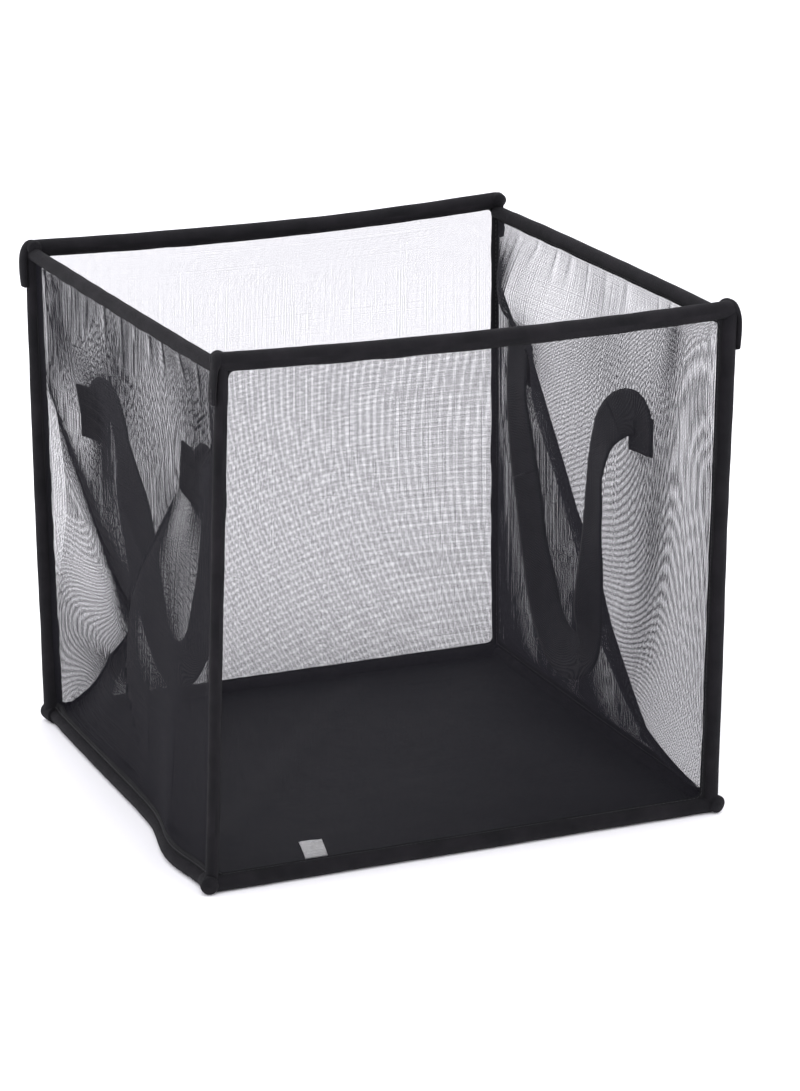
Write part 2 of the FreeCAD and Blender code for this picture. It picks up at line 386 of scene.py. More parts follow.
def relief(tree, shader, fine, coarse, share, distance):
    """Makes a shader's surface follow a fine height plus a share of a coarse one."""
    height = math_node(tree, "MULTIPLY_ADD", coarse, share)
    tree.links.new(fine, height.node.inputs[2])
    bumped(tree, shader, height, distance)


def woven_cloth(name, low, high, pitch=0.75, sheen=0.02, roughness=0.85, crumple=0.35):
    """Plain-weave cloth: over-and-under threads, soft crumples and a drifting black."""
    made, tree, shader = material(name, low, roughness, sheen, specular=0.12)
    uv, along, around = uv_axes(tree)
    mottled(tree, shader, uv, 0.035, low, high)
    weave = math_node(tree, "MULTIPLY", wave(tree, along, pitch), wave(tree, around, pitch))
    folds = node(tree, "ShaderNodeTexNoise", Vector=uv, Scale=0.16, Detail=4.0)
    relief(tree, shader, weave, folds.outputs["Fac"], crumple * 8, 0.00012)
    rough = node(tree, "ShaderNodeMapRange", i0=folds.outputs["Fac"], i3=roughness - 0.12, i4=roughness + 0.1)
    tree.links.new(rough.outputs[0], shader.inputs["Roughness"])
    return made


def webbing_cloth():
    """Flat webbing: ribs across the strap, a fine line of warp and a drifting tone."""
    made, tree, shader = material("webbing", (0.010, 0.010, 0.011), 0.75, 0.06, specular=0.15)
    uv, along, around = uv_axes(tree)
    mottled(tree, shader, uv, 0.05, (0.006, 0.006, 0.007), (0.012, 0.012, 0.014))
    ribs = wave(tree, along, 1.25)
    herring = math_node(tree, "MULTIPLY", wave(tree, around, 2.6), wave(tree, along, 2.5, 1.1))
    relief(tree, shader, ribs, herring, 0.6, 0.00018)
    return made


def mesh_yarn():
    """The mesh's filament yarn: black, faintly violet and hardly glossy."""
    return material("mesh_yarn", (0.0065, 0.006, 0.0095), 0.6, specular=0.12)[0]


def floor_cloth():
    """Dense coated cloth of the floor, with long soft creases."""
    made, tree, shader = material("floor_cloth", (0.008, 0.008, 0.009), 0.62, 0.02, specular=0.14)
    uv, along, around = uv_axes(tree)
    mottled(tree, shader, uv, 0.012, (0.002, 0.002, 0.003), (0.005, 0.005, 0.006))
    creases = node(tree, "ShaderNodeTexNoise", Vector=uv, Scale=0.03, Detail=5.0, Roughness=0.55)
    weave = math_node(tree, "MULTIPLY", wave(tree, along, 0.9), wave(tree, around, 0.9))
    relief(tree, shader, weave, creases.outputs["Fac"], 12.0, 0.00012)
    return made


def label_satin():
    """White satin ribbon with its fine warp, left blank."""
    made, tree, shader = material("label_satin", (0.92, 0.92, 0.90), 0.45, 0.1)
    uv, _, around = uv_axes(tree)
    mottled(tree, shader, uv, 0.3, (0.88, 0.88, 0.86), (0.95, 0.95, 0.94))
    bumped(tree, shader, wave(tree, around, 0.6), 0.00005)
    return made


def thread_yarn():
    """Black sewing thread, a little brighter than the cloth under it."""
    return material("thread", (0.03, 0.03, 0.032), 0.55, sheen=0.05, specular=0.2)[0]


def drawn_steel():
    """Spring steel wire with fine draw marks."""
    made, tree, shader = material("spring_steel", (0.42, 0.42, 0.44), 0.35)
    shader.inputs["Metallic"].default_value = 1.0
    uv, _, _ = uv_axes(tree)
    marks = node(tree, "ShaderNodeTexNoise", Vector=uv, Scale=0.8, Detail=2.0)
    bumped(tree, shader, marks.outputs["Fac"], 0.00004)
    return made


STEEL = drawn_steel()
SLEEVE = woven_cloth("sleeve_cloth", (0.005, 0.005, 0.006), (0.011, 0.010, 0.012))
CAP = woven_cloth("cap_cloth", (0.005, 0.005, 0.006), (0.012, 0.011, 0.013), pitch=0.8, crumple=0.6)
HEM = woven_cloth("hem_cloth", (0.006, 0.006, 0.007), (0.011, 0.011, 0.012), pitch=0.7)
WEBBING = webbing_cloth()
YARN = mesh_yarn()
FLOOR = floor_cloth()
SATIN = label_satin()
THREAD = thread_yarn()


def finish_piece(piece, cloth, slot, body=None, *stands_for):
    """Gives a piece its material, the body it rides and the CAD nodes it stands for. The slot is not used."""
    piece.data.materials.clear()
    piece.data.materials.append(cloth)
    if stands_for:
        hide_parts(*stands_for)
    if body:
        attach(piece, body)
    return piece


# ---- stitching ----

def between(at, along, values):
    """Rows of values, given at distances along a path, at other distances."""
    return np.stack([np.interp(at, along, values[:, k]) for k in range(3)], -1)


def merged(parts):
    """Several parts' points and faces as one."""
    points, faces, start = [], [], 0
    for part_points, part_faces in parts:
        points.append(part_points)
        faces.append(part_faces + start)
        start += len(part_points)
    return np.vstack(points), np.vstack(faces)


def stitch_row(points, normals, stitch=2.6, gap=0.9, radius=0.24, lift=0.10):
    """Points and faces of a row of lockstitches along a path on a surface."""
    points, normals = np.asarray(points, float), np.asarray(normals, float)
    line = resample(points, 1.0)
    along = length_along(line)
    source = length_along(points) / length_along(points)[-1]
    share = np.array([0.0, 0.12, 0.5, 0.88, 1.0])
    rise = np.array([-0.3, 0.6, 1.0, 0.6, -0.3])
    thick = np.array([0.35, 0.9, 1.0, 0.9, 0.35])
    ring = 6
    made = []
    for start in np.arange(gap, along[-1] - stitch, stitch + gap):
        at = start + share * stitch
        centre = between(at, along, line)
        out = unit(between(at / along[-1], source, normals))
        tangent = unit(centre[-1] - centre[0])[None, :]
        side = np.cross(np.broadcast_to(tangent, out.shape), out)
        centre = centre + out * (rise * radius + lift)[:, None]
        rings = round_rings(centre, side, out, thick * radius, ring)
        made.append((rings.reshape(-1, 3), grid_faces(len(share), ring, wrap=True)))
    return merged(made) if made else (np.zeros((0, 3)), np.zeros((0, 4), int))


def stitches(name, rows, body, slot="sleeve_cloth"):
    """One piece of thread from several rows of stitches, riding on a body."""
    points, faces = merged(rows)
    uvs = np.tile([[0, 0], [0, 1], [1, 1], [1, 0]], (len(faces), 1))
    return finish_piece(new_object(name, points, faces, uvs), THREAD, slot, body)


def hem_piece(name, rings, body):
    """A hem's skin over rings of points, one ring for each place along it."""
    along = length_along(rings[:, 0])
    around = rings.shape[1]
    faces = grid_faces(len(rings), around, wrap=True)
    made = new_object(name, rings.reshape(-1, 3), faces, skin_uvs(along, around, 3.0))
    return finish_piece(made, HEM, "sleeve_cloth", body)


# ---- woven mesh made of real threads ----

# Thread spacing and width, and depth at the foot, the middle and the top of the basket. The flat
# panels are stretched thin; the slack walls' yarn is made deeper the lower it hangs, a painted shade
# that darkens them towards the foot.
FLAT_YARN = {"pitch": 0.75, "wide": 0.128, "deep": (0.139, 0.139, 0.139), "sides": 4}
SLACK_YARN = {
    -1: {"pitch": 1.0, "wide": 0.21, "deep": (0.32, 0.26, 0.24), "sides": 3},
    1: {"pitch": 1.0, "wide": 0.2, "deep": (0.45, 0.33, 0.23), "sides": 3},
}

# A yarn's outline for each number of sides: shares of its width and of its depth.
YARN_OUTLINE = {
    3: ((0.0, 0.6), (-0.5, -0.4), (0.5, -0.4)),
    4: ((0.5, 0.5), (-0.5, 0.5), (-0.5, -0.5), (0.5, -0.5)),
}


def off_grain(u, v, u_range, v_range, amount):
    """Places shifted a little inside a sheet whose edges stay put, as when cloth is sewn unevenly."""
    across = (u - u_range[0]) / (u_range[1] - u_range[0])
    up = (v - v_range[0]) / (v_range[1] - v_range[0])
    hump = np.sin(math.pi * across) * np.sin(math.pi * up)
    return u + amount * hump, v - 0.7 * amount * hump


def yarn_runs(lanes, run, rng, meet):
    """Where each yarn passes: its places along its run, and its lane with the drift of real cloth.

    meet holds where each yarn bends sharply, or is None: its nearest place moves exactly there.
    """
    steps = np.arange(len(run))
    ends_still = np.minimum(1, np.minimum(steps, steps[::-1]) / 2)
    drift = np.clip(np.cumsum(rng.normal(0, 0.02, (len(lanes), len(run))), 1), -0.2, 0.2)
    lane = lanes[:, None] + drift * ends_still
    runs = run[None, :] + 0 * lane
    if meet is not None:
        meet = meet[:, None]
        nearest = run[np.argmin(np.abs(run[None, :] - meet), axis=1)][:, None]
        runs = runs + (meet - nearest) * np.exp(-((runs - meet) / 14.0) ** 2) * ends_still
    return runs, lane


def yarn_faces(count, sides, lanes, start):
    """Faces of several yarns of count rings, closed at both ends."""
    one = grid_faces(count, sides, wrap=True).tolist()
    one.append(list(range(sides))[::-1])
    one.append([(count - 1) * sides + k for k in range(sides)])
    offsets = [start + lane * count * sides for lane in range(lanes)]
    return [[corner + offset for corner in face] for offset in offsets for face in one]


def thread_sheet(name, surface, u_range, v_range, pieces, yarn, seed, grain=0.0, crease=None):
    """Crossing yarns laid on surface(u, v) -> points: one set along u and one along v.

    pieces says how many straight lengths make a yarn of each set. crease(lane, along_u) gives where
    each yarn meets a sharp fold, so that it bends exactly there.
    """
    rng = np.random.default_rng(seed)
    pitch, wide, corners = yarn["pitch"], yarn["wide"], YARN_OUTLINE[yarn["sides"]]
    points, faces, start = [], [], 0
    for along_u in (True, False):
        lane_range, run_range = (v_range, u_range) if along_u else (u_range, v_range)
        lanes = np.arange(lane_range[0] + pitch / 2, lane_range[1], pitch)
        run = np.linspace(run_range[0], run_range[1], pieces[0 if along_u else 1] + 1)
        runs, lane = yarn_runs(lanes, run, rng, crease(lanes, along_u) if crease else None)
        u, v = (runs, lane) if along_u else (lane, runs)
        u, v = off_grain(u, v, u_range, v_range, grain)
        centre = surface(u, v)
        probe = 0.5
        du = surface(u + probe, v) - surface(u - probe, v)
        dv = surface(u, v + probe) - surface(u, v - probe)
        normal = unit(np.cross(du, dv))
        side = np.cross(unit(np.gradient(centre, axis=1)), normal)
        # On the slack walls the yarn deepens towards the foot: painted shade, darker lower down.
        deep = np.interp(centre[..., 2], (0, 0.6 * TOP_Z, TOP_Z), yarn["deep"])[..., None]
        ring = np.stack([centre + a * side * wide + b * normal * deep for a, b in corners], 2)
        points.append(ring.reshape(-1, 3))
        faces += yarn_faces(len(run), len(corners), len(lanes), start)
        start += len(points[-1])
    loops = sum(len(face) for face in faces)
    return new_object(name, np.vstack(points), faces, np.zeros((loops, 2)), smooth=False)


# ---- front and back frames ----

RAIL_SAG = {"front": 3.6, "back": 5.0}
PAST_POST = TUBE_R * 0.85                    # how far a rail runs on past its posts
PANEL_BOW = 1.5
OFF_GRAIN = {"front": 5.0, "back": -7.0}     # how far off its grain each panel is sewn


def rail_path(end_sign, level, sag):
    """A frame's top or bottom rail, from corner to corner, with its slight sag."""
    z = TOP_Z if level == "top" else BOTTOM_Z
    xs = np.linspace(-POST_X - PAST_POST, POST_X + PAST_POST, 15)
    points = np.stack([xs, np.full(15, end_sign * FRAME_Y), np.full(15, z)], -1)
    points = leaned(points)
    share = np.clip(1 - (xs / POST_X) ** 2, 0, 1)
    shift = 0.18 if end_sign < 0 else -0.05
    points[:, 2] -= sag * share * (1 + shift * xs / POST_X)
    return points


def post_path(side_sign, end_sign):
    """A post's middle line, with its slight bow."""
    zs = np.linspace(BOTTOM_Z + 1, TOP_Z - 1, 13)
    points = np.stack([np.full(13, side_sign * POST_X), np.full(13, end_sign * FRAME_Y), zs], -1)
    points = leaned(points)
    share = 1 - ((zs - zs.mean()) / (zs.max() - zs.mean())) ** 2
    bow = {(-1, -1): 0.2, (1, -1): -0.6, (-1, 1): -0.3, (1, 1): -1.2}[side_sign, end_sign]
    points[:, 0] += bow * share
    return points


def panel_point(end_sign, u, v):
    """A point of the front or back mesh: u across, v up, with a slight bow."""
    y = np.full_like(u, end_sign * FRAME_Y)
    points = leaned(np.stack([u, y, v], -1))
    across = 1 - (u / POST_X) ** 2
    up = (v - WALL_LOW) / WALL_TALL
    lift = np.clip(up * (1 - up) * 4, 0, 1)
    points[..., 1] += end_sign * PANEL_BOW * across * lift
    points[..., 1] += 0.5 * wobble(7, u / 60, v / 70) * lift
    sag = RAIL_SAG["front" if end_sign < 0 else "back"]
    points[..., 2] -= sag * np.clip(across, 0, 1) * np.clip(up, 0, 1)
    return points


def rounded_rectangle(left, right, low, high, corner):
    """Corner-by-corner points of a rectangle with rounded corners, in the order of a turn."""
    points = []
    centre = np.array([(left + right) / 2, (low + high) / 2])
    half = np.array([(right - left) / 2, (high - low) / 2])
    for quarter in range(4):
        signs = np.array([(1, 1), (-1, 1), (-1, -1), (1, -1)][quarter])
        for t in np.linspace(0, math.pi / 2, 7) + quarter * math.pi / 2:
            points.append(centre + signs * (half - corner) + corner * np.array([math.cos(t), math.sin(t)]))
    return np.array(points)


def finer(points, step):
    """A closed outline with points no more than a step apart."""
    closed = np.vstack([points, points[:1]])
    made = []
    for a, b in zip(closed, closed[1:]):
        count = max(1, math.ceil(np.linalg.norm(b - a) / step))
        made.append(a + (b - a) * np.arange(count)[:, None] / count)
    return np.vstack(made)


def hem_band(end, end_sign):
    """The folded hem round a frame's opening, with softly rounded inner corners."""
    body = end + "_frame"
    left = -POST_X + POST_R["left", end] + 0.6
    right = POST_X - POST_R["right", end] - (3.4 if end == "front" else 0.4)
    low, high = BOTTOM_Z + RAIL_R["bottom"] + 1.0, TOP_Z - RAIL_R["top"] - 0.5
    inner = finer(rounded_rectangle(left, right, low, high, 5.0), 8.0)
    middle_spot = np.array([(left + right) / 2, (low + high) / 2])
    spread = [2 * (POST_X - 1.5) / (right - left), (TOP_Z - BOTTOM_Z - 3) / (high - low)]
    outer = middle_spot + (inner - middle_spot) * spread
    rings = []
    for share, depth in ((0, 0), (0.0, 0.8), (0.3, 1.0), (1, 1.1), (1, -1.1), (0.3, -1.0), (0.0, -0.8)):
        flat = inner * (1 - share) + outer * share
        ruffle = np.stack([wobble(3, flat[:, 1] / 9), wobble(4, flat[:, 0] / 9)], -1)
        flat = flat + 0.22 * ruffle * (1 - share)
        spots = panel_point(end_sign, flat[:, 0], flat[:, 1])
        spots[:, 1] += depth * (0.6 + 0.1 * wobble(5, flat[:, 0] / 6, flat[:, 1] / 6))
        rings.append(spots)
    rings = np.array(rings).transpose(1, 0, 2)
    hem_piece(end + "_hem", np.concatenate([rings, rings[:1]]), body)
    middle = inner + (middle_spot - inner) * -0.004
    rows = []
    for face in (-1, 1):
        line = panel_point(end_sign, middle[:, 0], middle[:, 1])
        line[:, 1] += face * 0.7
        line = np.vstack([line, line[:1]])
        rows.append(stitch_row(line, np.tile([0, face, 0], (len(line), 1)), radius=0.18))
    stitches(end + "_hem_stitches", rows, body)


def swell_to_foot(share):
    """The girth of a post whose cloth is slacker near its foot, against that at its top."""
    return 1 + 0.28 * (1 - share) ** 1.4


FOOT_FLARE = {("left", "back"): swell_to_foot}


def build_frame(end, end_sign):
    """Sleeves, hems and mesh of the front or back frame."""
    body = end + "_frame"
    seed = 10 if end_sign < 0 else 20
    for k, (level, sag) in enumerate((("top", RAIL_SAG[end]), ("bottom", 0))):
        rail = sleeve_tube(f"{end}_{level}_rail", rail_path(end_sign, level, sag), seed + k,
                           up_hint=RAIL_UP[level], radius=RAIL_R[level])
        finish_piece(rail, SLEEVE, "sleeve_cloth", body, f"{end}_{level}_sleeve")
    for side, side_sign in SIDES:
        post = sleeve_tube(f"{end}_{side}_post", post_path(side_sign, end_sign), seed + 3 + side_sign,
                           up_hint=(side_sign, 0, 0), dome=(False, False), radius=POST_R[side, end],
                           swell=FOOT_FLARE.get((side, end)))
        finish_piece(post, SLEEVE, "sleeve_cloth", body, f"{end}_{side}_post_sleeve")
    hem_band(end, end_sign)
    half_x = POST_X - POST_TUCK
    low, high = WALL_LOW - TUCK, WALL_HIGH + TUCK
    panel = thread_sheet(end + "_mesh", partial(panel_point, end_sign), (-half_x, half_x), (low, high),
                         (12, 12), FLAT_YARN, seed, grain=OFF_GRAIN[end])
    finish_piece(panel, YARN, "mesh", body, end + "_mesh_panel")


def wire(name, path, body, *stands_for):
    """Spring wire hidden in a sleeve."""
    made = sleeve_tube(name, path, 1, radius=WIRE_R, step=9, pucker=0.0, ring=10, dome=(False, False))
    return finish_piece(made, STEEL, "spring_steel", body, *stands_for)


def build_wire_loop(end, end_sign):
    """A frame's closed wire, following its sleeves, with the crimp where its ends meet."""
    bend = 4.0
    top, low = rail_path(end_sign, "top", RAIL_SAG[end]), rail_path(end_sign, "bottom", 0)
    left, right = post_path(-1, end_sign), post_path(1, end_sign)
    for line, axis in ((top, 0), (low, 0), (left, 2), (right, 2)):
        line[0, axis] = line[:, axis].min() + bend + (PAST_POST if axis == 0 else 0)
        line[-1, axis] = line[:, axis].max() - bend - (PAST_POST if axis == 0 else 0)
    loop = np.vstack([top, right[::-1], low[::-1], left])
    wire(end + "_wire", np.vstack([loop, loop[:1]]), end + "_frame", end + "_wire_loop")
    crimp = sleeve_tube(end + "_crimp", low[5:8], 2, radius=2.2, step=3, pucker=0.0, ring=14,
                        dome=(False, False))
    finish_piece(crimp, STEEL, "ferrule_steel", end + "_frame", end + "_wire_ferrule")


for end_name, end_side in ENDS:
    build_frame(end_name, end_side)
    build_wire_loop(end_name, end_side)


# ---- side walls ----

# Each wall's long crease, left and right: how far it stands in at its low and its high end, how
# sharply the cloth falls back behind it there, where along it the one turns into the other (start
# and length), and the share of the wall over which it dies away beside the post at its high end.
RIDGE = {-1: (20.0, 8.0), 1: (35.0, 35.0)}
FALL_BACK = {-1: (3.5, 14.0), 1: (2.6, 12.6)}
CREASE_RISE = {-1: (0.3, 0.2), 1: (0.12, 0.25)}
NEAR_POST = {-1: 0.06, 1: 0.14}
CREASE_ROUND = 0.008

# How far each wall's foot is drawn in, and the bulge of the left one.
FOOT_PULL = {-1: 2.8, 1: 2.0}
FOOT_BULGE = 10.0
FOOT_BULGE_Y = -122

# Where the sewn straps pull a wall in, and how far and how widely they do.
TAB_PULLS = ((-82, 267), (114, 270))
TAB_PULL_DEPTH = 8.5
TAB_PULL_REACH = 26.0


def wall_inward(side_sign, y, z):
    """How far a side wall hangs inwards at a place on it. The left wall is much like the right one
    turned half round the upright axis: each has one long crease from a top corner to a bottom one."""
    y = np.asarray(y, float) * side_sign
    z = np.asarray(z, float)
    across = np.clip((y + WALL_Y) / (2 * WALL_Y), 0, 1)
    up = np.clip((z - WALL_LOW) / WALL_TALL, 0, 1)
    edge = np.clip(np.minimum.reduce([up, 1 - up, across, 1 - across]) / 0.035, 0, 1)
    inward = creased(side_sign, y, across, up) + soft_fold(side_sign, side_sign * y, z) * edge
    for tab_y, tab_z in TAB_PULLS:
        near = np.exp(-((y - tab_y) ** 2 + (z - tab_z) ** 2) / (2 * TAB_PULL_REACH**2))
        inward = inward + (TAB_PULL_DEPTH - inward) * near * 0.92
    inward = inward + rail_pleats(y, (1 - up) * WALL_TALL) * edge
    ripples = wobble(33, (y - z) / 26, (y + z) / 90) * 1.1 + wobble(34, (y + z) / 33, z / 80) * 0.8
    return np.maximum(inward + ripples * edge, 0)


def creased(side_sign, y, across, up):
    """How far the long crease stands in, falling back slowly before it and sharply behind it."""
    crease = (crease_height(side_sign, y) - WALL_LOW) / WALL_TALL
    middle = (up + crease) / 2
    off = up - crease
    reach = np.maximum(np.minimum(2 * middle, 2 * (1 - middle)), 1e-4)
    start, length = CREASE_RISE[side_sign]
    rising = np.clip((middle - start) / length, 0, 1)
    low_ridge, high_ridge = RIDGE[side_sign]
    low_fall, high_fall = FALL_BACK[side_sign]
    ridge = low_ridge + (high_ridge - low_ridge) * rising
    ridge = ridge * (1 - np.exp(-middle / 0.05)) * (1 - 0.25 * middle) * (1 - np.exp(-(1 - middle) / 0.07))
    away = np.clip((np.sqrt(off**2 + CREASE_ROUND**2) - CREASE_ROUND) / reach, 0, 1)
    behind = (1 - away) ** (low_fall + (high_fall - low_fall) * rising)
    before = (1 - away) ** 1.5
    to_post = np.clip((1 - across) / NEAR_POST[side_sign], 0, 1) ** 0.7
    return ridge * np.where(off < 0, behind, before) * to_post


def rail_pleats(y, drop):
    """Small pleats that fan down from the top rail, at a drop below it."""
    total = 0
    rng = np.random.default_rng(31)
    for spot in np.arange(-168, 170, 31.0):
        centre = spot + rng.uniform(-9, 9) + rng.uniform(-0.35, 0.25) * drop
        deep, wide, long = rng.uniform(1.4, 3.6), rng.uniform(2.0, 4.5), rng.uniform(4, 14)
        pleat = np.exp(-((y - centre) / (wide + drop * 0.07)) ** 2) * np.exp(-drop / long)
        total = total + deep * pleat * np.clip(drop / 5, 0, 1)
    return total


def soft_fold(side_sign, y, z):
    """The slack cloth's soft fold: on the left it sweeps down from the back post and widens, and on
    the right it hangs beside the front post."""
    if side_sign > 0:
        return 4.5 * np.exp(-(((y + 130) / 26) ** 2)) * np.clip((z - 60) / 60, 0, 1)
    peak = 95 + 0.58 * (z - 126) + 12 * np.clip((235 - z) / 60, 0, 1)
    wide = 12 + 28 * np.clip((270 - z) / 100, 0, 1)
    off = 0.865 * (y - peak)
    return 0.44 * wide * np.exp(-(off / np.where(off < 0, wide, 42)) ** 2) * np.clip((z - 80) / 60, 0, 1)


def crease_height(side_sign, y):
    """The height of a wall's long crease: straight, sagging a little on each side in its own way, and
    easing off towards the top corner."""
    straight = WALL_LOW + (y + WALL_Y) / (2 * WALL_Y) * WALL_TALL
    height = straight - 41 * np.clip((y - 80) / 98, 0, 1.05) ** 1.6
    if side_sign > 0:
        return height - 25 * np.exp(-(((y + 62) / 60) ** 2))
    return height - 17 * np.clip(1 - (y / WALL_Y) ** 4, 0, 1)


def crease_at(side_sign, lane, along_u):
    """Where a yarn meets its wall's long crease: y for a level yarn at a height, z for an upright one."""
    if along_u:
        along = np.linspace(-WALL_Y, WALL_Y, 200)
        return side_sign * np.interp(lane, crease_height(side_sign, along), along)
    return crease_height(side_sign, lane * side_sign)


def wall_point(side_sign, y, z):
    """A point of a side wall."""
    x = np.full_like(np.asarray(y, float), side_sign * POST_X)
    points = leaned(np.stack([x, y, z], -1))
    up = np.clip((np.asarray(z, float) - WALL_LOW) / WALL_TALL, 0, 1)
    points[..., 0] -= side_sign * (wall_inward(side_sign, y, z) + foot_pull(side_sign, y) * (1 - up) ** 3)
    points[..., 2] -= side_drop(side_sign, y) * up**2
    return points


def side_rail_path(side_sign, level, y0, y1):
    """A side rail between two places along it. The bottom one follows its wall's foot."""
    z = TOP_Z if level == "top" else BOTTOM_Z
    ys = np.linspace(y0, y1, max(5, int(abs(y1 - y0) / 14)))
    points = leaned(np.stack([np.full_like(ys, side_sign * POST_X), ys, np.full_like(ys, z)], -1))
    share = np.clip(1 - (ys / FRAME_Y) ** 2, 0, 1)
    if level == "top":
        points[:, 2] -= side_drop(side_sign, ys)
        points[:, 0] += side_sign * (1.2 if side_sign > 0 else 0.4) * share
        points[:, 2] += (0.8 if side_sign > 0 else -0.6) * share
    else:
        points[:, 0] -= side_sign * foot_pull(side_sign, ys)
        points[:, 2] -= BOTTOM_Z - SIDE_RAIL_R - 0.3
    return points


def side_drop(side_sign, y):
    """How far a side rail hangs below the frames' rails at a place along it."""
    side = "left" if side_sign < 0 else "right"
    share = np.clip((np.asarray(y, float) / FRAME_Y + 1) / 2, 0, 1)
    return SIDE_DROP[side, "front"] * (1 - share) + SIDE_DROP[side, "back"] * share


def foot_pull(side_sign, y):
    """How far a side wall's foot is drawn inwards. The left one also bulges out beside its front post."""
    y = np.asarray(y, float)
    share = np.clip((1 - y / FRAME_Y) / 2, 0, 1)
    pull = FOOT_PULL[side_sign] * (share / 0.68) ** 1.3 * ((1 - share) / 0.32) ** 0.6
    if side_sign < 0:
        pull = pull - FOOT_BULGE * np.exp(-(((y - FOOT_BULGE_Y) / 42) ** 2))
    return pull


def build_side(side, side_sign):
    """Rails and mesh of a side wall, with the short strips that bend beside each post."""
    body = side + "_side"
    seed = 40 if side_sign < 0 else 60
    for k, level in enumerate(("top", "bottom")):
        reach = HINGE_Y + SIDE_RAIL_R
        path = side_rail_path(side_sign, level, -reach, reach)
        rail = sleeve_tube(f"{side}_{level}_rail", path, seed + k, up_hint=RAIL_UP[level])
        finish_piece(rail, SLEEVE, "sleeve_cloth", body, f"{side}_{level}_sleeve")
        wire(f"{side}_{level}_wire", path[1:-1], body, f"{side}_{level}_rod")
    wall_cloth(side + "_mesh", side_sign, (-HINGE_Y, HINGE_Y), (58, 38), seed, body,
               (side + "_mesh_panel", side + "_front_edge_piping", side + "_back_edge_piping"),
               crease=partial(crease_at, side_sign))
    for end, end_sign in ENDS:
        build_corner(side, side_sign, end, end_sign, seed)


def fold_thin(piece):
    """Gives a wall's soft piece a mesh of its own."""
    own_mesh(piece)


def wall_cloth(name, side_sign, y_range, pieces, seed, body, stands_for, crease=None):
    """A stretch of a side wall's mesh, from its foot to its top."""
    z_range = (WALL_LOW - TUCK, WALL_HIGH + TUCK)
    cloth = thread_sheet(name, partial(wall_point, side_sign), y_range, z_range, pieces,
                         SLACK_YARN[side_sign], seed, crease=crease)
    finish_piece(cloth, YARN, "mesh", body, *stands_for)
    fold_thin(cloth)


def wall_binding(name, side_sign, body, inner, outer):
    """A narrow doubled hem on a side wall, between two lines of (y, z) places, with its stitches."""
    rings = []
    for share, depth in ((0, 0), (0.0, 0.55), (0.2, 0.85), (1, 0.7), (1, -0.7), (0.2, -0.85), (0.0, -0.55)):
        flat = inner * (1 - share) + outer * share
        flat = flat + 0.22 * wobble(71, flat[:, :1] / 8, flat[:, 1:] / 9) * (1 - share)
        spots = wall_point(side_sign, flat[:, 0], flat[:, 1])
        spots[:, 0] -= side_sign * depth
        rings.append(spots)
    hem = hem_piece(name, np.array(rings).transpose(1, 0, 2), body)
    middle = inner * 0.55 + outer * 0.45
    rows = []
    for face in (-1, 1):
        line = wall_point(side_sign, middle[:, 0], middle[:, 1])
        line[:, 0] += face * 0.85
        rows.append(stitch_row(line, np.tile([face, 0, 0], (len(line), 1))))
    fold_thin(hem)
    fold_thin(stitches(name + "_stitches", rows, body))


def level_line(y0, y1, z, count):
    """Places (y, z) along a level line on a wall."""
    return np.stack([np.linspace(y0, y1, count), np.full(count, z)], -1)


def upright_line(y, z0, z1, count):
    """Places (y, z) along an upright line on a wall."""
    return np.stack([np.full(count, y), np.linspace(z0, z1, count)], -1)


def build_bindings(side, side_sign):
    """Hems along a side wall: under the top rail, over the bottom rail and beside each post."""
    hems = {"top": (TOP_Z - SIDE_RAIL_R - 0.8, TOP_Z - 2),
            "bottom": (BOTTOM_Z + SIDE_RAIL_R + 5.0, BOTTOM_Z + 3)}
    post = FRAME_Y - HEM_TUCK
    for level, (z0, z1) in hems.items():
        wall_binding(f"{side}_{level}_hem", side_sign, side + "_side",
                     level_line(-HINGE_Y, HINGE_Y, z0, 60), level_line(-HINGE_Y, HINGE_Y, z1, 60))
        for end, end_sign in ENDS:
            reach = (end_sign * HINGE_Y, end_sign * post)
            wall_binding(f"{end}_{side}_{level}_hem_end", side_sign, end + "_frame",
                         level_line(*reach, z0, 8), level_line(*reach, z1, 8))
    for end, end_sign in ENDS:
        edge = FRAME_Y - POST_R[side, end] - 0.8
        wall_binding(f"{end}_{side}_post_hem", side_sign, end + "_frame",
                     upright_line(end_sign * edge, WALL_LOW - 1, WALL_HIGH + 1, 60),
                     upright_line(end_sign * post, WALL_LOW - 1, WALL_HIGH + 1, 60))


def build_bartack():
    """A short zigzag of thread on the left wall, beside its front seam."""
    t = np.linspace(0, 1, 27)
    y, z = -128 - 16 * t, 323 + 9 * t
    line = wall_point(-1, y, z + 1.4 * np.where(np.arange(27) % 2, 1, -1))
    line[:, 0] += 0.4
    rows = [stitch_row(line[i:i + 2], np.tile([1, 0, 0], (2, 1)), stitch=2.2, gap=0.1) for i in range(26)]
    stitches("left_bartack", rows, "left_side")


def build_corner(side, side_sign, end, end_sign, seed):
    """The cloth and rail ends between a post and its upright seam. They stay with the frame."""
    body = end + "_frame"
    y_range = sorted((end_sign * HINGE_Y, end_sign * (FRAME_Y - HEM_TUCK)))
    wall_cloth(f"{end}_{side}_wall_edge", side_sign, y_range, (8, 72), seed + 7, body,
               [f"{end}_{side}_gusset"])
    for k, level in enumerate(("top", "bottom")):
        path = side_rail_path(side_sign, level, end_sign * (HINGE_Y - SIDE_RAIL_R),
                              end_sign * (FRAME_Y - HEM_TUCK))
        turn = sleeve_tube(f"{end}_{side}_{level}_turn", path, seed + 9 + k, up_hint=RAIL_UP[level],
                           dome=(True, False), radius=SIDE_RAIL_R * 0.975)
        finish_piece(turn, SLEEVE, "sleeve_cloth", body, f"{end}_{side}_{level}_rail_end")
    build_flap(side, side_sign, end, end_sign, seed)
    build_stub(side, side_sign, end, end_sign, seed)


